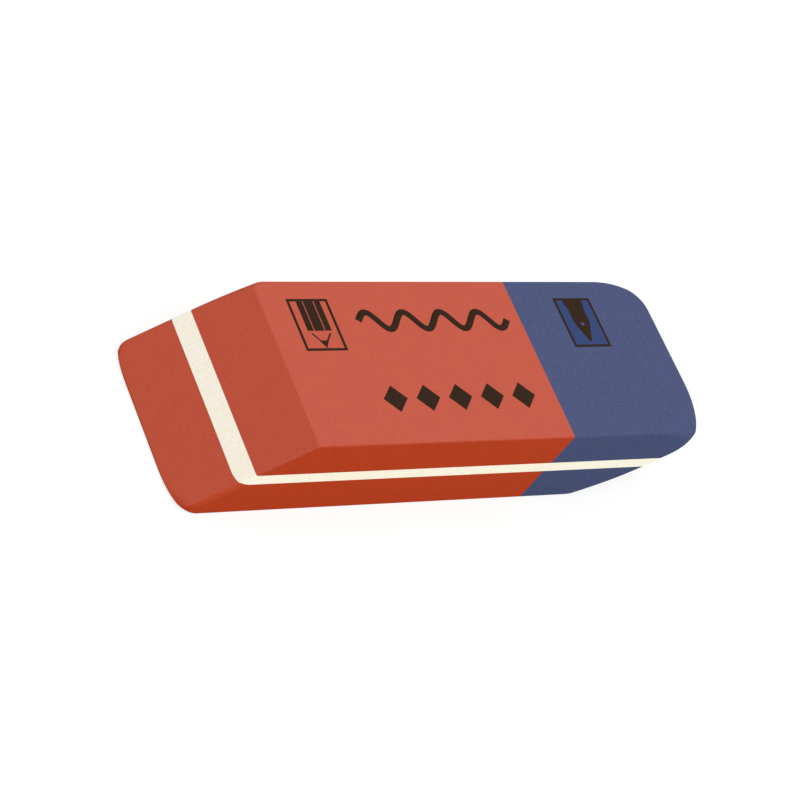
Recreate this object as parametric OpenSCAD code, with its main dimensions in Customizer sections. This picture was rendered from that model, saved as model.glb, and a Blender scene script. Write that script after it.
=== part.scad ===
// Combination rubber eraser: a slanted block of two coloured rubber layers
// bonded to a cream layer between them. Each coloured layer is red for pencil
// at one end and blue for ink at the other, joined end to end.
//
// Frame: millimetres, Z up, resting on its lower face. The origin is the middle
// of the block's box at the bottom. X runs along the length, the red end at -X.
// Seen from the front, the block leans to the right: the red end's sharp edge is
// the lower one, and the blue end's sharp edge is the upper one.

/* [Block] */
// Width across the block
width = 15; // [12:0.5:25]
// Length of the red rubber along the upper face, from its blunt edge to the joint
red_length = 22.7; // [12:0.1:36]
// Length of the blue rubber along the upper face, from the joint to its sharp edge
blue_length = 14.4; // [12:0.1:24]
// Angle between a slanted end and the flat faces
end_angle = 42.5; // [38:0.5:70]
// Lean of the joint between red and blue, from upright
joint_lean = 5; // [0:1:15]

/* [Layers] */
// Thickness of the upper coloured layer
upper_layer_t = 3.35; // [2.5:0.05:4.5]
// Thickness of the cream layer in the middle
middle_layer_t = 1.05; // [0.5:0.05:2]
// Thickness of the lower coloured layer
lower_layer_t = 3.45; // [2.5:0.05:4.5]

/* [Rounded edges] */
// Radius along the long edges and along the blunt edge of each end
edge_r = 0.15; // [0.1:0.05:0.6]
// Radius along the red end's sharp edge
red_nose_r = 0.15; // [0.15:0.05:0.8]
// Radius along the blue end's sharp edge, which is worn blunter
blue_nose_r = 0.6; // [0.15:0.05:0.8]

/* [Worn corners] */
// Wear along the sharp edge: red front, red back, blue front, blue back corner
sharp_edge_wear = [4.6, 3.8, 5.6, 3.3]; // [0.2:0.1:6.5]
// Wear along the side, down at the sharp edge: the same four corners
side_wear = [1.9, 1.5, 5, 4.6]; // [0.2:0.1:6.5]
// Height over which this wear fades at each corner
fade_height = [1, 1, 3, 2]; // [0.3:0.1:3.4]
// What is left of it from there to the cream layer
face_wear = [1.2, 0.3, 0.4, 1.1]; // [0.2:0.1:6.5]
// Wear at the blunt edge over each corner
blunt_edge_wear = [0.2, 1.1, 2.4, 0.9]; // [0.2:0.1:4]
// Fullness of the worn corners: 2 is an ellipse, more is squarer
corner_fullness = 2.2; // [2:0.1:3]
// Share of the unworn corner that is left as a ridge halfway up a layer: 0 is fully round
corner_ridge = 0.3; // [0:0.05:0.9]

/* [Hidden] */

RED = "#c4543c";
BLUE = "#4b5580";
CREAM = "#f5ecd8";

// Fineness: points round each worn corner, outlines round each half of a nose and up a layer's side
CORNER_STEPS = 10;
ROUNDING_STEPS = 6;
SIDE_STEPS = 10;

// Places of the corners in the lists of wear
RED_FRONT = 0;
RED_BACK = 1;
BLUE_FRONT = 2;
BLUE_BACK = 3;

// What is each end's own: nose radius, thickness of the layer with its sharp edge, and its corners
RED_END = [red_nose_r, lower_layer_t, RED_FRONT, RED_BACK];
BLUE_END = [blue_nose_r, upper_layer_t, BLUE_FRONT, BLUE_BACK];

height = lower_layer_t + middle_layer_t + upper_layer_t;
middle_low = lower_layer_t;
middle_high = lower_layer_t + middle_layer_t;

// Each end's sharp edge lies this far outside its blunt edge
end_run = height / tan(end_angle);
unworn_length = end_run + red_length + blue_length;

// How much of its point a sharp edge loses to a nose of radius r
function nose_loss(r) = r / tan(end_angle / 2) - r;

// Where the planes of the ends meet the flat faces, with the worn block centred on X = 0
sharp_edge_x = -(unworn_length + nose_loss(red_nose_r) - nose_loss(blue_nose_r)) / 2;
blunt_edge_x = sharp_edge_x + end_run;
turning_x = sharp_edge_x + unworn_length / 2;

// Half the chord of a circle of radius r, at a distance d from its centre
function half_chord(r, d) = sqrt(max(r * r - d * d, 0));

// Height at which a nose of radius r runs into the slanted end
function nose_top(r) = r * (1 + cos(end_angle));

// The functions from here on take an end as if it were the left one, its sharp edge below.
// Profile of the end at a height: nose, slanted plane, blunt edge
function end_x(end, z) =
    let (
        r = end[0],
        nose_x = sharp_edge_x + r / tan(end_angle / 2),
        blunt_x = blunt_edge_x + edge_r * tan(end_angle / 2),
        blunt_z = height - edge_r
    )
    z < nose_top(r) ? nose_x - half_chord(r, z - r)
    : z > blunt_z + edge_r * cos(end_angle) ? blunt_x - half_chord(edge_r, z - blunt_z)
    : sharp_edge_x + z / tan(end_angle);

// Half the width at a height: the long edges are rounded at both flat faces
function side_y(z) =
    let (depth = max(edge_r - min(z, height - z), 0))
    width / 2 - edge_r + half_chord(edge_r, depth);

// Share of the wear that is left after a share of the way over which it fades
function fading(way) = pow(max(1 - way, 0), 2);

// Size of a worn corner at a height, from what it is at the sharp edge: it fades within the layer
// with that edge, and changes once more from the cream layer to the blunt edge
function wear(end, place, z, at_edge) =
    let (
        near = end[1],
        far = near + middle_layer_t,
        face = face_wear[place],
        blunt = blunt_edge_wear[place],
        beyond = min(face, blunt)
    )
    z < near ? face + (at_edge - face) * fading(z / min(fade_height[place], near))
    : z < far ? lookup(z, [[near, face], [far, beyond]])
    : beyond + (blunt - beyond) * fading((height - z) / (height - far));

// Share of the unworn corner that is left at a height: none at either flat face
function ridge(end, z) =
    lookup(z, [[0, 0], [end[1] / 2, corner_ridge], [end[1], corner_ridge / 2], [height, 0]]);

// What a corner of size 1 takes off one of its two sides, at an angle round it from that side
function cut(angle, left) =
    (1 - left) * (1 - pow(sin(angle), 2 / corner_fullness)) + left * max(1 - angle / 45, 0);

// Front corner of an end at a height, from the end's face round to the side
function corner(end, place, z) = [
    for (i = [0 : CORNER_STEPS])
        let (
            angle = 90 * i / CORNER_STEPS,
            left = ridge(end, z),
            along_y = wear(end, place, z, sharp_edge_wear[place]) * cut(angle, left),
            along_x = wear(end, place, z, side_wear[place]) * cut(90 - angle, left)
        )
        [end_x(end, z) + along_x, along_y - side_y(z), z]
];

// Whole end at a height, from the back side round to the front side
function end_ring(end, z) =
    let (front = corner(end, end[2], z), back = corner(end, end[3], z))
    concat([for (i = [CORNER_STEPS : -1 : 0]) [back[i].x, -back[i].y, z]], front);

function red_end(z) = end_ring(RED_END, z);

// The blue end is made as a left end too, then turned by half a turn about the block's middle
function blue_end(z) =
    let (ring = end_ring(BLUE_END, height - z))
    [for (i = [len(ring) - 1 : -1 : 0]) [2 * turning_x - ring[i].x, ring[i].y, z]];

// Place of the joint between red and blue at a height
function joint_x(z) = blunt_edge_x + red_length - (height - z) * tan(joint_lean);

// Outlines of the pieces at a height, counter-clockwise from above
function red_outline(z) = concat(
    red_end(z),
    [[joint_x(z), -side_y(z), z], [joint_x(z), side_y(z), z]]
);

function blue_outline(z) = concat(
    blue_end(z),
    [[joint_x(z), side_y(z), z], [joint_x(z), -side_y(z), z]]
);

function cream_outline(z) = concat(red_end(z), blue_end(z));

// Outlines of a coloured layer by their depth in from its flat face: they follow the nose, with
// one where it is widest, and are even from there to the cream layer
function depths(end) =
    let (nose_r = end[0], rounding = max(nose_top(nose_r), edge_r))
    concat(
        [for (i = [0 : ROUNDING_STEPS]) nose_r * (1 - cos(90 * i / ROUNDING_STEPS))],
        [
            for (i = [1 : ROUNDING_STEPS])
                nose_r + (rounding - nose_r) * sin(90 * i / ROUNDING_STEPS)
        ],
        [for (i = [1 : SIDE_STEPS]) rounding + (end[1] - rounding) * i / SIDE_STEPS]
    );

LOWER_HEIGHTS = depths(RED_END);
UPPER_DEPTHS = depths(BLUE_END);
UPPER_HEIGHTS = [for (i = [len(UPPER_DEPTHS) - 1 : -1 : 0]) height - UPPER_DEPTHS[i]];

// Closed solid through a stack of outlines with as many points each, from the lowest up
module skin(outlines) {
    n = len(outlines[0]);
    last = len(outlines) - 1;
    polyhedron(
        points = [for (outline = outlines) each outline],
        faces = concat(
            [[for (i = [0 : n - 1]) i]],
            [[for (i = [n - 1 : -1 : 0]) last * n + i]],
            [
                for (k = [0 : last - 1], i = [0 : n - 1])
                    let (j = (i + 1) % n)
                    each [
                        [k * n + i, (k + 1) * n + i, (k + 1) * n + j],
                        [k * n + i, (k + 1) * n + j, k * n + j],
                    ]
            ]
        )
    );
}

module upper_red_half() {
    color(RED) skin([for (z = UPPER_HEIGHTS) red_outline(z)]);
}

module upper_blue_half() {
    color(BLUE) skin([for (z = UPPER_HEIGHTS) blue_outline(z)]);
}

module cream_middle_layer() {
    color(CREAM) skin([for (z = [middle_low, middle_high]) cream_outline(z)]);
}

module lower_red_half() {
    color(RED) skin([for (z = LOWER_HEIGHTS) red_outline(z)]);
}

module lower_blue_half() {
    color(BLUE) skin([for (z = LOWER_HEIGHTS) blue_outline(z)]);
}

upper_red_half();
upper_blue_half();
cream_middle_layer();
lower_red_half();
lower_blue_half();
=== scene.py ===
"""Looks of a combination eraser: five bonded pieces of rubber, and the print on the upper face."""

import math
from collections import namedtuple

import bmesh
import bpy
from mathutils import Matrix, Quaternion, Vector
from numpy import interp


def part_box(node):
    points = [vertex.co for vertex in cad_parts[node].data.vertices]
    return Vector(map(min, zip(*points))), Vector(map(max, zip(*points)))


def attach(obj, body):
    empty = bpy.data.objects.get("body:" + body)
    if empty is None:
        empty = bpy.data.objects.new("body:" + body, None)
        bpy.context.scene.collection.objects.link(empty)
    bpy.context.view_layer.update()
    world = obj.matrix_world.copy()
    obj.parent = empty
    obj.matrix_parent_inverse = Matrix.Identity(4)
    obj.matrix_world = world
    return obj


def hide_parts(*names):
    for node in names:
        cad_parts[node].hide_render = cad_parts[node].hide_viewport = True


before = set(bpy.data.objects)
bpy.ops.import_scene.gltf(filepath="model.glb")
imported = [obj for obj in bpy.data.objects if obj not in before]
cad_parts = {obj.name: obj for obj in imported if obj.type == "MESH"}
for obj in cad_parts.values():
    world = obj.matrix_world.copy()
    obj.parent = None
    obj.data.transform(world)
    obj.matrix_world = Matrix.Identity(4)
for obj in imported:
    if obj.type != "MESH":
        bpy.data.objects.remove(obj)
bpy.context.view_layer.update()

# The shapes are worked out in millimetres and scaled to metres when they become meshes
MM = 0.001

# A worn corner: its size along the sharp edge and along the side, the height over which that
# fades, what is left of it from there to the cream layer, and its size at the blunt edge
Corner = namedtuple("Corner", "edge side fade face blunt")

# The ridge down a worn corner: the greatest share of the unworn corner that is left, and how far
# up the layer with the sharp edge that is
Ridge = namedtuple("Ridge", "greatest place")

# A slanted end: the radius of its sharp edge, its corners, the thickness of the layer with the
# sharp edge, and the ridge down its corners
End = namedtuple("End", "nose_r front back sharp_t ridge")

# The points of a corner that lie on the end's face, and those that lie on the side
Halves = namedtuple("Halves", "face side")

# Radii of the eraser's edges and the wear of its corners, as the solids have them
EDGE_R = 0.15
RED_NOSE_R = 0.15
BLUE_NOSE_R = 0.6
RED_FRONT = Corner(edge=4.6, side=1.9, fade=1.0, face=1.2, blunt=0.2)
RED_BACK = Corner(edge=3.8, side=1.5, fade=1.0, face=0.3, blunt=1.1)
BLUE_FRONT = Corner(edge=5.6, side=5.0, fade=3.0, face=0.4, blunt=2.4)
BLUE_BACK = Corner(edge=3.3, side=4.6, fade=2.0, face=1.1, blunt=0.9)
CORNER_FULLNESS = 2.2

# The solids have one ridge for all corners: here the red end's is a little crisper, and the blue
# end's starts more softly
RED_RIDGE = Ridge(greatest=0.4, place=0.25)
BLUE_RIDGE = Ridge(greatest=0.3, place=0.75)

# Fineness of the meshes: steps round a worn corner, along and across a face, up a nose and a side,
# round a small circle and along one wave, and the points round one outline
CORNER_STEPS = 24
LENGTH_STEPS = 72
WIDTH_STEPS = 44
ROUNDING_STEPS = 7
SIDE_STEPS = 14
CIRCLE_STEPS = 20
WAVE_STEPS = 24
RING_POINTS = 2 * (LENGTH_STEPS + WIDTH_STEPS)

# An edge that turns by more than this stays a crease
CREASE_ANGLE = math.radians(30)

# The print is a film of ink that ends flush with the solids' upper face. Points of a film that are
# closer than the merge distance become one
FILM_T = 0.012
MERGE_DISTANCE = FILM_T / 10

# Pictograms: the middle of each frame along and across the face, and a frame's outer size and line
FRAME_SIZE = (3.57, 4.8)
FRAME_LINE = 0.22
PENCIL_CENTRE = (-9.88, 3.38)
NIB_CENTRE = (14.65, 3.37)

# The pencil's stripes, from the frame's middle: place and width of each, and where they stop
PENCIL_STRIPES = ((-0.73, 0.52), (0.04, 0.84), (0.82, 0.52))
STRIPES_END_Y = -0.56

# The pencil's point, from the frame's middle: where its axis lies, half the width of the bared wood
# and its place at the stripes and at the lead, the line that draws the wood, and the lead's tip
POINT_X = 0.06
WOOD_TOP = (0.88, -0.8)
WOOD_LOW = (0.4, -1.46)
WOOD_LINE = 0.16
LEAD_TIP_Y = -2.17

# The pen nib, from the frame's middle: half its width at places from top to tip, and its hole
NIB_PROFILE = (
    (0.93, 2.18), (0.91, 1.8), (0.78, 1.3), (0.77, 0.9),
    (0.79, 0.1), (0.64, -0.4), (0.3, -1.3), (0.09, -1.88),
)
NIB_HOLE_Y = -0.15
NIB_HOLE_R = 0.18

# Wavy line in the red field: where it starts, its waves and the width of its line
WAVE_START = (-6.1, 3.7)
WAVE_COUNT = 4
WAVE_LENGTH = 3.4
WAVE_HEIGHT = 0.8
WAVE_LINE = 0.55

# Row of lozenges in front of it: the middle of the first, their pitch and their size
LOZENGE_START = (-5.8, -3.5)
LOZENGE_COUNT = 5
LOZENGE_PITCH = 2.9
LOZENGE_SIZE = (2.1, 2.4)

# Sizes of what shows in the rubber and the ink. The hollows that grinding leaves and the grains of
# filler are finer in truth, about 0.01 to 0.05, and are drawn as coarse as they need to show
GRAIN_SIZE = 0.15
GRAIN_DEPTH = 0.02
SPECK_SIZE = 0.24
MOTTLE_SIZE = 1.8

# The grain's noise: how many finer sizes it adds and how strong they are, and the share of its
# depth that shows as bumps
GRAIN_DETAIL = 3.0
GRAIN_FINE_SHARE = 0.6
GRAIN_BUMP = 0.2

# A noise pattern lies between these values nearly everywhere
NOISE_LOW = 0.35
NOISE_HIGH = 0.65

# Greatest share of the deeper colour, from uneven mixing and in the hollows
MOTTLE_SHARE = 0.3
HOLLOW_SHARE = 0.9

# A speck is full up to its core and gone at its rim, as shares of its cell
SPECK_CORE = 0.1
SPECK_RIM = 0.35

# How fast the painted light on a face fades as the face turns from looking straight up
PAINTED_LIGHT_FADE = 1.2

# The ink is thinner where its grain lies between these values, by this share at most
INK_THIN_FROM = 0.5
INK_THIN_TO = 0.72
INK_THIN_SHARE = 0.35

# Rubber and ink are matt, with next to no gloss
RUBBER_ROUGHNESS = 0.85
RUBBER_GLOSS = 0.06
INK_ROUGHNESS = 0.8
INK_GLOSS = 0.05

# Camera: the point it aims at and its distance, its angles in degrees, its lens, and the nearest
# and farthest that it sees
CAMERA_AIM = (-2.200, -0.788, 3.9)
CAMERA_DISTANCE = 208.2
CAMERA_AZIMUTH = -49.108
CAMERA_ELEVATION = 42.232
CAMERA_ROLL = 36.229
CAMERA_LENS = 124.84
CAMERA_RANGE = (10, 10000)

# Light: an even sky, and one soft lamp from above and the front. The direction points at the lamp,
# and its power is in watts
SKY_STRENGTH = 0.88
LAMP_DIRECTION = (0.2, -0.33, 0.9)
LAMP_DISTANCE = 500
LAMP_SIZE = 300
LAMP_POWER = 1.15

# What the camera sees of the sky is plain white. Of the floor it sees a share of even white, and
# the lit surface with its shadow for the rest
WHITE = (1, 1, 1, 1)
SKY_WHITE = 1.0
FLOOR_WHITE = 1.1
FLOOR_WHITE_SHARE = 0.72
FLOOR_COLOUR = "#dddcda"
FLOOR_SIZE = 4000


# Small tools


def metres(x, y, z):
    """A point in metres, from millimetres."""
    return x * MM, y * MM, z * MM


def linear(hex_colour):
    """Turns an sRGB colour such as "#b03f22" into the linear colour that a shader takes."""
    parts = [int(hex_colour[i:i + 2], 16) / 255 for i in (1, 3, 5)]
    return [p / 12.92 if p <= 0.04045 else ((p + 0.055) / 1.055) ** 2.4 for p in parts] + [1.0]


def add(tree, kind, inputs=None, **settings):
    """Adds a node with its settings, each input a value or a socket to link, and gives its output."""
    node = tree.nodes.new(kind)
    for name, value in settings.items():
        setattr(node, name, value)
    for name, value in (inputs or {}).items():
        if isinstance(value, bpy.types.NodeSocket):
            tree.links.new(value, node.inputs[name])
        else:
            node.inputs[name].default_value = value
    return next((output for output in node.outputs if output.enabled), None)


def new_material(name):
    """An empty material with its tree."""
    material = bpy.data.materials.new(name)
    material.use_nodes = True
    material.node_tree.nodes.clear()
    return material, material.node_tree


def new_object(name, data):
    """A new object in the scene."""
    thing = bpy.data.objects.new(name, data)
    bpy.context.scene.collection.objects.link(thing)
    return thing


def mesh_object(name, points, faces, material):
    """A mesh object from points in millimetres."""
    mesh = bpy.data.meshes.new(name)
    mesh.from_pydata([metres(*point) for point in points], [], faces)
    mesh.materials.append(material)
    return new_object(name, mesh)


def applied(piece):
    """Turns the piece's modifiers into its plain mesh."""
    graph = bpy.context.evaluated_depsgraph_get()
    mesh = bpy.data.meshes.new_from_object(piece.evaluated_get(graph), depsgraph=graph)
    piece.modifiers.clear()
    piece.data = mesh
    return piece


# Sizes of the block, from its solids


def box_mm(node):
    """Lowest and highest corner of a solid, in millimetres."""
    low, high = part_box(node)
    return low / MM, high / MM


CREAM_LOW, CREAM_HIGH = box_mm("cream_middle_layer")
UPPER_RED_LOW, UPPER_RED_HIGH = box_mm("upper_red_half")
LOWER_BLUE_LOW = box_mm("lower_blue_half")[0]
HALF_WIDTH = CREAM_HIGH.y
HEIGHT = UPPER_RED_HIGH.z
CREAM_T = CREAM_HIGH.z - CREAM_LOW.z

# How far the slanted ends run per height, and where the left one would meet both flat faces
RUN = (UPPER_RED_LOW.x - CREAM_LOW.x) / CREAM_T
END_ANGLE = math.atan(1 / RUN)
SHARP_EDGE_X = CREAM_LOW.x - CREAM_LOW.z * RUN
BLUNT_EDGE_X = SHARP_EDGE_X + HEIGHT * RUN

# The middle about which half a turn takes the left end's plane to the right end's
TURNING_X = (CREAM_HIGH.x + SHARP_EDGE_X + (HEIGHT - CREAM_HIGH.z) * RUN) / 2

# How far the leaning joint between red and blue runs per height
JOINT_RUN = (UPPER_RED_HIGH.x - LOWER_BLUE_LOW.x) / HEIGHT

RED_END = End(RED_NOSE_R, RED_FRONT, RED_BACK, CREAM_LOW.z, RED_RIDGE)
BLUE_END = End(BLUE_NOSE_R, BLUE_FRONT, BLUE_BACK, HEIGHT - CREAM_HIGH.z, BLUE_RIDGE)


# Outlines of the block. An end is taken as if it were the left one, with its sharp edge below


def half_chord(radius, distance):
    """Half the chord of a circle at a distance from its centre."""
    return math.sqrt(max(radius * radius - distance * distance, 0))


def nose_top(radius):
    """Height at which a nose runs into the slanted end."""
    return radius * (1 + math.cos(END_ANGLE))


def end_x(end, z):
    """Profile of an end at a height: nose, slanted plane, blunt edge."""
    blunt_z = HEIGHT - EDGE_R
    if z < nose_top(end.nose_r):
        nose_x = SHARP_EDGE_X + end.nose_r / math.tan(END_ANGLE / 2)
        return nose_x - half_chord(end.nose_r, z - end.nose_r)
    if z > blunt_z + EDGE_R * math.cos(END_ANGLE):
        blunt_x = BLUNT_EDGE_X + EDGE_R * math.tan(END_ANGLE / 2)
        return blunt_x - half_chord(EDGE_R, z - blunt_z)
    return SHARP_EDGE_X + z * RUN


def side_y(z):
    """Half the width at a height: the long edges are rounded at both flat faces."""
    depth = max(EDGE_R - min(z, HEIGHT - z), 0)
    return HALF_WIDTH - EDGE_R + half_chord(EDGE_R, depth)


def fading(way):
    """Share of the wear that is left after a share of the way over which it fades."""
    return max(1 - way, 0) ** 2


def wear(end, corner, z, at_edge):
    """Size of a worn corner at a height, from what it is at the sharp edge."""
    near, far = end.sharp_t, end.sharp_t + CREAM_T
    beyond = min(corner.face, corner.blunt)
    if z < near:
        return corner.face + (at_edge - corner.face) * fading(z / min(corner.fade, near))
    if z < far:
        return float(interp(z, (near, far), (corner.face, beyond)))
    return beyond + (corner.blunt - beyond) * fading((HEIGHT - z) / (HEIGHT - far))


def ridge(end, z):
    """Share of the unworn corner that is left at a height: none at either flat face."""
    greatest, place = end.ridge
    heights = (0, place * end.sharp_t, end.sharp_t, HEIGHT)
    return float(interp(z, heights, (0, greatest, greatest / 2, 0)))


def cut(share, left):
    """What a corner of size 1 takes off one of its sides, at a share of the way round it."""
    arc = 1 - math.sin(share * math.pi / 2) ** (2 / CORNER_FULLNESS)
    return (1 - left) * arc + left * max(1 - 2 * share, 0)


def worn_corner(end, corner, z):
    """Front corner of an end at a height, from the end's face round to the side."""
    left = ridge(end, z)
    reach_y = wear(end, corner, z, corner.edge)
    reach_x = wear(end, corner, z, corner.side)
    shares = [i / CORNER_STEPS for i in range(CORNER_STEPS + 1)]
    return [
        (end_x(end, z) + reach_x * cut(1 - share, left), reach_y * cut(share, left) - side_y(z))
        for share in shares
    ]


def end_corners(end, z):
    """Front and back corner of an end at a height."""
    back = worn_corner(end, end.back, z)
    return worn_corner(end, end.front, z), [(x, -y) for x, y in back]


def red_corners(z):
    """Front and back corner of the red end at a height."""
    return end_corners(RED_END, z)


def blue_corners(z):
    """Front and back corner of the blue end: a left end turned by half a turn."""
    corners = end_corners(BLUE_END, HEIGHT - z)
    return tuple([(2 * TURNING_X - x, y) for x, y in corner] for corner in corners)


def joint_corners(z):
    """Front and back corner at the leaning joint between red and blue: one sharp point each."""
    x = LOWER_BLUE_LOW.x + z * JOINT_RUN
    return [(x, -side_y(z))], [(x, side_y(z))]


def halved(corner):
    """A corner's half on the end's face and its half on the side, which share its middle point."""
    middle = len(corner) // 2
    return Halves(face=corner[:middle + 1], side=corner[middle:])


def edge_line(start, stop, steps):
    """One side of an outline: the points of both corner halves, and even points between them."""
    gaps = steps - (len(start) - 1) - (len(stop) - 1)
    (x0, y0), (x1, y1) = start[-1], stop[0]
    between = [(x0 + (x1 - x0) * i / gaps, y0 + (y1 - y0) * i / gaps) for i in range(1, gaps)]
    return start + between + stop


def four_sides(left, right, z):
    """The outline at a height as four lines: left, front, right and back, counter-clockwise."""
    left_front, left_back = map(halved, left(z))
    right_front, right_back = map(halved, right(z))
    return (
        edge_line(left_back.face[::-1], left_front.face, WIDTH_STEPS),
        edge_line(left_front.side, right_front.side[::-1], LENGTH_STEPS),
        edge_line(right_front.face[::-1], right_back.face, WIDTH_STEPS),
        edge_line(right_back.side, left_back.side[::-1], LENGTH_STEPS),
    )


# Meshes of the rubber pieces: a ring of points at each height, and a cap of quads at each end


def blended(sides, i, j, axis):
    """One coordinate of a point inside an outline, blended from its four sides."""
    left, front, right, back = sides
    u, v = i / LENGTH_STEPS, j / WIDTH_STEPS
    between_long_sides = (1 - v) * front[i][axis] + v * back[i][axis]
    between_ends = (1 - u) * left[j][axis] + u * right[j][axis]
    left_corners = (1 - v) * front[0][axis] + v * back[0][axis]
    right_corners = (1 - v) * front[-1][axis] + v * back[-1][axis]
    return between_long_sides + between_ends - (1 - u) * left_corners - u * right_corners


def filled_grid(sides):
    """A grid of points inside an outline: rows along X, each from the front to the back."""
    left, front, right, back = sides
    aligned = left[::-1], front, right, back[::-1]
    return [
        [(blended(aligned, i, j, 0), blended(aligned, i, j, 1)) for j in range(WIDTH_STEPS + 1)]
        for i in range(LENGTH_STEPS + 1)
    ]


def ring_index(i, j):
    """Place in the outline of a grid's border point: left, front, right, then back."""
    if i == 0:
        return WIDTH_STEPS - j
    if j == 0:
        return WIDTH_STEPS + i
    if i == LENGTH_STEPS:
        return WIDTH_STEPS + LENGTH_STEPS + j
    return RING_POINTS - i


def add_cap(points, faces, sides, z, ring_start, upwards):
    """Closes the block at a height with a grid of quads that shares the ring's points."""
    grid = filled_grid(sides)
    index = {}
    for i in range(LENGTH_STEPS + 1):
        for j in range(WIDTH_STEPS + 1):
            if i in (0, LENGTH_STEPS) or j in (0, WIDTH_STEPS):
                index[i, j] = ring_start + ring_index(i, j) % RING_POINTS
            else:
                index[i, j] = len(points)
                points.append((*grid[i][j], z))
    for i in range(LENGTH_STEPS):
        for j in range(WIDTH_STEPS):
            quad = (index[i, j], index[i + 1, j], index[i + 1, j + 1], index[i, j + 1])
            faces.append(quad if upwards else quad[::-1])


def block_geometry(left, right, heights):
    """Points and faces of a rubber piece, from its corners on the left and on the right."""
    points, faces = [], []
    outlines = [four_sides(left, right, z) for z in heights]
    for sides, z in zip(outlines, heights):
        points += [(x, y, z) for side in sides for x, y in side[:-1]]
    for k in range(len(heights) - 1):
        low, high = k * RING_POINTS, (k + 1) * RING_POINTS
        for i in range(RING_POINTS):
            j = (i + 1) % RING_POINTS
            faces.append((low + i, low + j, high + j, high + i))
    add_cap(points, faces, outlines[0], heights[0], 0, False)
    add_cap(points, faces, outlines[-1], heights[-1], (len(heights) - 1) * RING_POINTS, True)
    return points, faces


def depths(end):
    """Depths of a coloured layer's rings: close round the nose, and even to the cream layer."""
    rounding = max(nose_top(end.nose_r), EDGE_R)
    turns = [math.pi / 2 * i / ROUNDING_STEPS for i in range(ROUNDING_STEPS + 1)]
    low = [end.nose_r * (1 - math.cos(turn)) for turn in turns]
    high = [end.nose_r + (rounding - end.nose_r) * math.sin(turn) for turn in turns[1:]]
    side = [rounding + (end.sharp_t - rounding) * i / SIDE_STEPS for i in range(1, SIDE_STEPS + 1)]
    return low + high + side


LOWER_HEIGHTS = depths(RED_END)
CREAM_HEIGHTS = [CREAM_LOW.z + CREAM_T * i / SIDE_STEPS for i in range(SIDE_STEPS + 1)]
UPPER_HEIGHTS = [HEIGHT - depth for depth in reversed(depths(BLUE_END))]


def lowered(point):
    """A point moved down where it lies in the upper layer, which is thinner by its film of ink."""
    x, y, z = point
    share = max(z - CREAM_HIGH.z, 0) / (HEIGHT - CREAM_HIGH.z)
    return x, y, z - FILM_T * share


def smooth(piece):
    """Smooth shading with crisp creases, where large faces keep their own direction."""
    piece.data.shade_smooth()
    piece.data.set_sharp_from_angle(angle=CREASE_ANGLE)
    weighted = piece.modifiers.new("weighted", "WEIGHTED_NORMAL")
    weighted.keep_sharp = True
    return applied(piece)


def rubber_piece(node, name, left, right, heights, material):
    """One bonded piece of rubber, which stands for its solid."""
    points, faces = block_geometry(left, right, heights)
    piece = smooth(mesh_object(name, [lowered(point) for point in points], faces, material))
    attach(piece, "root")
    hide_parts(node)


# Print on the upper face


def rectangle(centre, size):
    """Corners of a rectangle, counter-clockwise from the left front one."""
    (x, y), (w, d) = centre, size
    return [(x + sx * w / 2, y + sy * d / 2) for sx, sy in ((-1, -1), (1, -1), (1, 1), (-1, 1))]


def circle(centre, radius):
    """Points round a small circle."""
    turns = [2 * math.pi * i / CIRCLE_STEPS for i in range(CIRCLE_STEPS)]
    return [(centre[0] + radius * math.cos(t), centre[1] + radius * math.sin(t)) for t in turns]


def add_film(bm, outline, holes):
    """Adds a film of ink with an outline and holes, its upper side on the CAD box's top."""
    edges = []
    for loop in (outline, *holes):
        verts = [bm.verts.new(metres(x, y, HEIGHT - FILM_T)) for x, y in loop]
        edges += [bm.edges.new((verts[i - 1], verts[i])) for i in range(len(verts))]
    filled = bmesh.ops.triangle_fill(bm, edges=edges, use_beauty=True, use_dissolve=False)
    flat = [item for item in filled["geom"] if isinstance(item, bmesh.types.BMFace)]
    raised = bmesh.ops.extrude_face_region(bm, geom=flat, use_keep_orig=True)["geom"]
    top = [item for item in raised if isinstance(item, bmesh.types.BMVert)]
    bmesh.ops.translate(bm, vec=metres(0, 0, FILM_T), verts=top)


def printed(piece):
    """Ties a printed piece to the block."""
    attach(piece, "root")


def printed_films(name, films, material):
    """A printed piece from films of ink, each an outline and its holes."""
    bm = bmesh.new()
    for outline, holes in films:
        add_film(bm, outline, holes)
    bmesh.ops.recalc_face_normals(bm, faces=bm.faces)
    mesh = bpy.data.meshes.new(name)
    bm.to_mesh(mesh)
    bm.free()
    mesh.materials.append(material)
    printed(new_object(name, mesh))


def frame_inside(centre):
    """The field inside a pictogram's frame."""
    return rectangle(centre, (FRAME_SIZE[0] - 2 * FRAME_LINE, FRAME_SIZE[1] - 2 * FRAME_LINE))


def frame_film(centre):
    """The frame round a pictogram."""
    return rectangle(centre, FRAME_SIZE), [frame_inside(centre)]


def pencil_point():
    """The lead and the two lines of the bared wood, as one outline round the pencil's axis."""
    (top_x, top_y), (low_x, low_y) = WOOD_TOP, WOOD_LOW
    right = [(low_x, low_y), (top_x, top_y), (top_x - WOOD_LINE, top_y), (low_x - WOOD_LINE, low_y)]
    return [(0, LEAD_TIP_Y)] + right + [(-x, y) for x, y in reversed(right)]


def pencil_films():
    """A framed pencil, point towards the front: the sign of the end for pencil marks."""
    cx, cy = PENCIL_CENTRE
    top_y = FRAME_SIZE[1] / 2 - FRAME_LINE
    depth = top_y - STRIPES_END_Y
    stripes = [
        (rectangle((cx + x, cy + top_y - depth / 2), (width, depth)), [])
        for x, width in PENCIL_STRIPES
    ]
    point = [(cx + POINT_X + x, cy + y) for x, y in pencil_point()]
    return [frame_film(PENCIL_CENTRE), *stripes, (point, [])]


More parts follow.
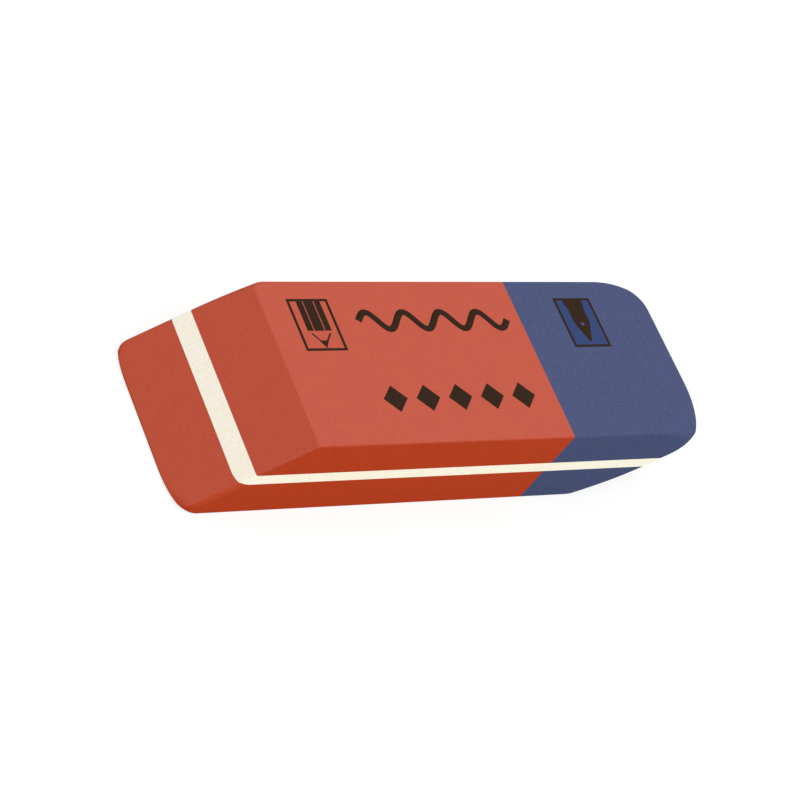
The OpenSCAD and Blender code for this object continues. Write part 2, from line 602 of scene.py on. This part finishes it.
def nib_outline():
    """The nib's right side from its top to its tip, and its left side back up."""
    cx, cy = NIB_CENTRE
    right = [(cx + half, cy + y) for half, y in NIB_PROFILE]
    left = [(cx - half, cy + y) for half, y in reversed(NIB_PROFILE)]
    return right + left


def nib_films():
    """A framed pen nib: the sign of the end for ink."""
    hole = circle((NIB_CENTRE[0], NIB_CENTRE[1] + NIB_HOLE_Y), NIB_HOLE_R)
    return [frame_film(NIB_CENTRE), (nib_outline(), [hole])]


def nib_field():
    """The blue field round the nib, inside its frame."""
    left_front, right_front, right_back, left_back = frame_inside(NIB_CENTRE)
    return [([left_back, left_front, right_front, right_back] + nib_outline(), [])]


def geometry_group(name, inputs):
    """An empty geometry tree with named inputs, each a socket type and a value."""
    group = bpy.data.node_groups.new(name, "GeometryNodeTree")
    for label, (kind, value) in inputs.items():
        socket = group.interface.new_socket(label, in_out="INPUT", socket_type=kind)
        socket.default_value = value
    group.interface.new_socket("Geometry", in_out="OUTPUT", socket_type="NodeSocketGeometry")
    return group, add(group, "NodeGroupInput").node.outputs


def end_group(group, geometry, material):
    """Ends a tree with real geometry in its material."""
    real = add(group, "GeometryNodeRealizeInstances", {"Geometry": geometry})
    inked = add(group, "GeometryNodeSetMaterial", {"Geometry": real, "Material": material})
    add(group, "NodeGroupOutput", {"Geometry": inked})


def thickened(group, flat, film):
    """Gives flat faces the thickness of the film, closed below."""
    raised = add(group, "GeometryNodeExtrudeMesh", {
        "Mesh": flat, "Offset Scale": film, "Individual": False,
    })
    under = add(group, "GeometryNodeFlipFaces", {"Mesh": flat})
    both = add(group, "GeometryNodeJoinGeometry", {"Geometry": raised})
    group.links.new(under, both.node.inputs["Geometry"])
    return add(group, "GeometryNodeMergeByDistance", {
        "Geometry": both, "Distance": MERGE_DISTANCE * MM,
    })


def lozenge_row(material):
    """A row of printed lozenges."""
    group, given = geometry_group("lozenge_row", {
        "Count": ("NodeSocketInt", LOZENGE_COUNT),
        "Pitch": ("NodeSocketFloat", LOZENGE_PITCH * MM),
        "Length": ("NodeSocketFloat", LOZENGE_SIZE[0] * MM),
        "Width": ("NodeSocketFloat", LOZENGE_SIZE[1] * MM),
        "Film": ("NodeSocketFloat", FILM_T * MM),
    })
    start = metres(*LOZENGE_START, HEIGHT - FILM_T)
    step = add(group, "ShaderNodeCombineXYZ", {"X": given["Pitch"]})
    row = add(group, "GeometryNodeMeshLine", {
        "Count": given["Count"], "Start Location": start, "Offset": step,
    })
    # A square that stands on its corner, 1 across, is stretched to the lozenge's size
    square = add(group, "GeometryNodeMeshCircle", {"Vertices": 4, "Radius": 0.5}, fill_type="NGON")
    size = add(group, "ShaderNodeCombineXYZ", {"X": given["Length"], "Y": given["Width"], "Z": 1.0})
    lozenge = add(group, "GeometryNodeTransform", {"Geometry": square, "Scale": size})
    repeated = add(group, "GeometryNodeInstanceOnPoints", {"Points": row, "Instance": lozenge})
    flat = add(group, "GeometryNodeRealizeInstances", {"Geometry": repeated})
    end_group(group, thickened(group, flat, given["Film"]), material)
    return group


def wave_line(material):
    """A printed wavy line, swept with the film's section along a sine."""
    group, given = geometry_group("wave_line", {
        "Waves": ("NodeSocketInt", WAVE_COUNT),
        "Wave length": ("NodeSocketFloat", WAVE_LENGTH * MM),
        "Wave height": ("NodeSocketFloat", WAVE_HEIGHT * MM),
        "Line": ("NodeSocketFloat", WAVE_LINE * MM),
        "Film": ("NodeSocketFloat", FILM_T * MM),
    })
    points = add(group, "ShaderNodeMath", {
        0: given["Waves"], 1: WAVE_STEPS, 2: 1,
    }, operation="MULTIPLY_ADD")
    pace = add(group, "ShaderNodeMath", {0: given["Wave length"], 1: WAVE_STEPS}, operation="DIVIDE")
    step = add(group, "ShaderNodeCombineXYZ", {"X": pace})
    line = add(group, "GeometryNodeMeshLine", {"Count": points, "Offset": step})
    index = add(group, "GeometryNodeInputIndex")
    step_turn = 2 * math.pi / WAVE_STEPS
    turn = add(group, "ShaderNodeMath", {0: index, 1: step_turn}, operation="MULTIPLY")
    sine = add(group, "ShaderNodeMath", {0: turn}, operation="SINE")
    rise = add(group, "ShaderNodeMath", {0: sine, 1: given["Wave height"]}, operation="MULTIPLY")
    moved = add(group, "ShaderNodeCombineXYZ", {"Y": rise})
    waved = add(group, "GeometryNodeSetPosition", {"Geometry": line, "Offset": moved})
    curve = add(group, "GeometryNodeMeshToCurve", {"Mesh": waved})
    section = add(group, "GeometryNodeCurvePrimitiveQuadrilateral", {
        "Width": given["Line"], "Height": given["Film"],
    })
    swept = add(group, "GeometryNodeCurveToMesh", {
        "Curve": curve, "Profile Curve": section, "Fill Caps": True,
    })
    place = metres(*WAVE_START, HEIGHT - FILM_T / 2)
    placed = add(group, "GeometryNodeTransform", {"Geometry": swept, "Translation": place})
    end_group(group, placed, material)
    return group


def printed_group(name, build, material):
    """A printed piece from the geometry tree that a function builds, as a plain mesh."""
    piece = mesh_object(name, [], [], material)
    piece.modifiers.new("grow", "NODES").node_group = build(material)
    printed(applied(piece))


# Materials

# Sockets of a Mix node for colours: the share of the second colour, and the two colours
SHARE, FIRST, SECOND = 0, 6, 7


def ground_grain(tree, place):
    """The fine hollows of a ground surface."""
    return add(tree, "ShaderNodeTexNoise", {
        "Vector": place, "Scale": 1 / (GRAIN_SIZE * MM),
        "Detail": GRAIN_DETAIL, "Roughness": GRAIN_FINE_SHARE,
    })


def uneven_tone(tree, place, grain, colour, deep):
    """The rubber's own colour: uneven mixing and the hollows give it its slight depth."""
    mixing = add(tree, "ShaderNodeTexNoise", {"Vector": place, "Scale": 1 / (MOTTLE_SIZE * MM)})
    tone = linear(colour)
    for pattern, most in ((mixing, MOTTLE_SHARE), (grain, HOLLOW_SHARE)):
        share = add(tree, "ShaderNodeMapRange", {
            "Value": pattern, "From Min": NOISE_LOW, "From Max": NOISE_HIGH, "To Max": most,
        })
        tone = add(tree, "ShaderNodeMix", {
            SHARE: share, FIRST: tone, SECOND: linear(deep),
        }, data_type="RGBA")
    return tone


def speckled(tree, place, tone, speck, most):
    """The tone with grains of filler in the surface, as faint specks."""
    cells = add(tree, "ShaderNodeTexVoronoi", {"Vector": place, "Scale": 1 / (SPECK_SIZE * MM)})
    share = add(tree, "ShaderNodeMapRange", {
        "Value": cells, "From Min": SPECK_CORE, "From Max": SPECK_RIM, "To Min": most, "To Max": 0.0,
    })
    return add(tree, "ShaderNodeMix", {SHARE: share, FIRST: tone, SECOND: linear(speck)}, data_type="RGBA")


def painted_light_on_upper_faces(tree, normal, tone, painted_light_colour, most):
    """The tone with painted light on the faces that look up, the more the straighter they look up: a
    painted sheen, or a painted shade.
    """
    up = add(tree, "ShaderNodeSeparateXYZ", {"Vector": normal}).node.outputs["Z"]
    level = add(tree, "ShaderNodeMath", {0: up, 1: 0.0}, operation="MAXIMUM")
    thickness = add(tree, "ShaderNodeMath", {0: level, 1: PAINTED_LIGHT_FADE}, operation="POWER")
    share = add(tree, "ShaderNodeMath", {0: thickness, 1: most}, operation="MULTIPLY")
    return add(tree, "ShaderNodeMix", {SHARE: share, FIRST: tone, SECOND: linear(painted_light_colour)}, data_type="RGBA")


def rubber(name, colour, deep, speck, speck_share, painted_light_colour, painted_light_share):
    """Filled, vulcanised rubber with a ground surface: its filler leaves it matt, with no gloss."""
    material, tree = new_material(name)
    space = add(tree, "ShaderNodeTexCoord").node.outputs
    place = space["Object"]
    grain = ground_grain(tree, place)
    tone = uneven_tone(tree, place, grain, colour, deep)
    tone = speckled(tree, place, tone, speck, speck_share)
    # Painted light: faces that look up get a painted sheen on the red and blue, and a painted shade on the
    # cream
    tone = painted_light_on_upper_faces(tree, space["Normal"], tone, painted_light_colour, painted_light_share)
    bump = add(tree, "ShaderNodeBump", {
        "Strength": GRAIN_BUMP, "Distance": GRAIN_DEPTH * MM, "Height": grain,
    })
    surface = add(tree, "ShaderNodeBsdfPrincipled", {
        "Base Color": tone, "Roughness": RUBBER_ROUGHNESS, "Specular IOR Level": RUBBER_GLOSS,
        "Normal": bump,
    })
    add(tree, "ShaderNodeOutputMaterial", {"Surface": surface})
    return material


def ink(name, colour, worn):
    """Pad-printed ink that has sunk into the rubber: matt, and thinner on the highest grains."""
    material, tree = new_material(name)
    grain = ground_grain(tree, add(tree, "ShaderNodeTexCoord").node.outputs["Object"])
    thin = add(tree, "ShaderNodeMapRange", {
        "Value": grain, "From Min": INK_THIN_FROM, "From Max": INK_THIN_TO, "To Max": INK_THIN_SHARE,
    })
    tone = add(tree, "ShaderNodeMix", {
        SHARE: thin, FIRST: linear(colour), SECOND: linear(worn),
    }, data_type="RGBA")
    surface = add(tree, "ShaderNodeBsdfPrincipled", {
        "Base Color": tone, "Roughness": INK_ROUGHNESS, "Specular IOR Level": INK_GLOSS,
    })
    add(tree, "ShaderNodeOutputMaterial", {"Surface": surface})
    return material


# Light, floor and camera


def seen_share(tree):
    """One for rays from the camera and through gloss or glass, which see the background white."""
    path = add(tree, "ShaderNodeLightPath").node.outputs
    seen = path["Is Camera Ray"]
    for kind in ("Is Glossy Ray", "Is Transmission Ray"):
        seen = add(tree, "ShaderNodeMath", {0: seen, 1: path[kind]}, operation="MAXIMUM")
    return seen


def studio_floor():
    """A matt white floor: the camera sees it white, with the eraser's soft shadow."""
    material, tree = new_material("matt_white_floor")
    matt = add(tree, "ShaderNodeBsdfDiffuse", {"Color": linear(FLOOR_COLOUR)})
    white = add(tree, "ShaderNodeEmission", {"Color": WHITE, "Strength": FLOOR_WHITE})
    share = add(tree, "ShaderNodeMath", {0: seen_share(tree), 1: FLOOR_WHITE_SHARE}, operation="MULTIPLY")
    both = add(tree, "ShaderNodeMixShader", {0: share, 1: matt, 2: white})
    add(tree, "ShaderNodeOutputMaterial", {"Surface": both})
    corners = [(x, y, 0) for x, y in rectangle((0, 0), (FLOOR_SIZE, FLOOR_SIZE))]
    floor = mesh_object("floor", corners, [(0, 1, 2, 3)], material)


def studio_sky():
    """An even pale sky, which the camera sees as plain white."""
    world = bpy.data.worlds.new("studio")
    world.use_nodes = True
    tree = world.node_tree
    tree.nodes.clear()
    sky = add(tree, "ShaderNodeBackground", {"Color": WHITE, "Strength": SKY_STRENGTH})
    white = add(tree, "ShaderNodeBackground", {"Color": WHITE, "Strength": SKY_WHITE})
    both = add(tree, "ShaderNodeMixShader", {0: seen_share(tree), 1: sky, 2: white})
    add(tree, "ShaderNodeOutputWorld", {"Surface": both})
    bpy.context.scene.world = world


def soft_lamp():
    """One soft lamp that shines at the block."""
    lamp = bpy.data.lights.new("soft_lamp", "AREA")
    lamp.size = LAMP_SIZE * MM
    lamp.energy = LAMP_POWER
    direction = Vector(LAMP_DIRECTION).normalized()
    stand = new_object("soft_lamp", lamp)
    stand.location = direction * LAMP_DISTANCE * MM
    stand.rotation_mode = "QUATERNION"
    stand.rotation_quaternion = (-direction).to_track_quat("-Z", "Y")


def camera():
    """The photograph's view of the block."""
    turn, rise = math.radians(CAMERA_AZIMUTH), math.radians(CAMERA_ELEVATION)
    back = Vector((math.sin(turn) * math.cos(rise), -math.cos(turn) * math.cos(rise), math.sin(rise)))
    roll = Quaternion((0, 0, 1), math.radians(CAMERA_ROLL))
    eye = new_object("camera", bpy.data.cameras.new("camera"))
    eye.data.lens = CAMERA_LENS
    eye.data.clip_start, eye.data.clip_end = (limit * MM for limit in CAMERA_RANGE)
    eye.location = (Vector(CAMERA_AIM) + back * CAMERA_DISTANCE) * MM
    eye.rotation_mode = "QUATERNION"
    eye.rotation_quaternion = (-back).to_track_quat("-Z", "Y") @ roll
    bpy.context.scene.camera = eye


# The finishes

# Red end, soft rubber for pencil: dull brick red, with a painted sheen that makes it a little pinker and
# lighter on top
RED = rubber(
    "red_filled_rubber", colour="#b33f1a", deep="#aa3616",
    speck="#c97a60", speck_share=0.1, painted_light_colour="#e6dbd9", painted_light_share=0.063,
)

# Blue end, hard rubber with sharp grit for ink: dull greyish blue, with only a faint painted sheen on top
BLUE = rubber(
    "blue_filled_rubber", colour="#464f73", deep="#3e4768",
    speck="#7d86a3", speck_share=0.14, painted_light_colour="#e9e2da", painted_light_share=0.008,
)

# Layer between them, soft pale rubber: cream, grainier to the eye, and greyed by a painted shade on its
# end that looks up
CREAM = rubber(
    "cream_filled_rubber", colour="#fefcee", deep="#f4eed3",
    speck="#dccfb3", speck_share=0.45, painted_light_colour="#c9b6b4", painted_light_share=0.435,
)

# Ink of the print: dull brown black, with crisp edges
INK = ink("brown_black_ink", colour="#2e2016", worn="#4a3022")

# Field round the nib: a blue only just deeper and purer than the rubber
BLUE_INK = ink("blue_ink", colour="#32416b", worn="#3b486e")

# The eraser's pieces

rubber_piece(
    "upper_red_half", "upper_red_rubber", red_corners, joint_corners, UPPER_HEIGHTS, RED
)
rubber_piece(
    "upper_blue_half", "upper_blue_rubber", joint_corners, blue_corners, UPPER_HEIGHTS, BLUE
)
rubber_piece(
    "cream_middle_layer", "cream_rubber_layer", red_corners, blue_corners, CREAM_HEIGHTS, CREAM,
)
rubber_piece(
    "lower_red_half", "lower_red_rubber", red_corners, joint_corners, LOWER_HEIGHTS, RED
)
rubber_piece(
    "lower_blue_half", "lower_blue_rubber", joint_corners, blue_corners, LOWER_HEIGHTS, BLUE
)

printed_films("pencil_print", pencil_films(), INK)
printed_films("nib_print", nib_films(), INK)
printed_films("nib_field_print", nib_field(), BLUE_INK)
printed_group("wave_print", wave_line, INK)
printed_group("lozenge_print", lozenge_row, INK)

# The studio

studio_floor()
studio_sky()
soft_lamp()
camera()
bpy.context.scene.view_settings.view_transform = "Standard"
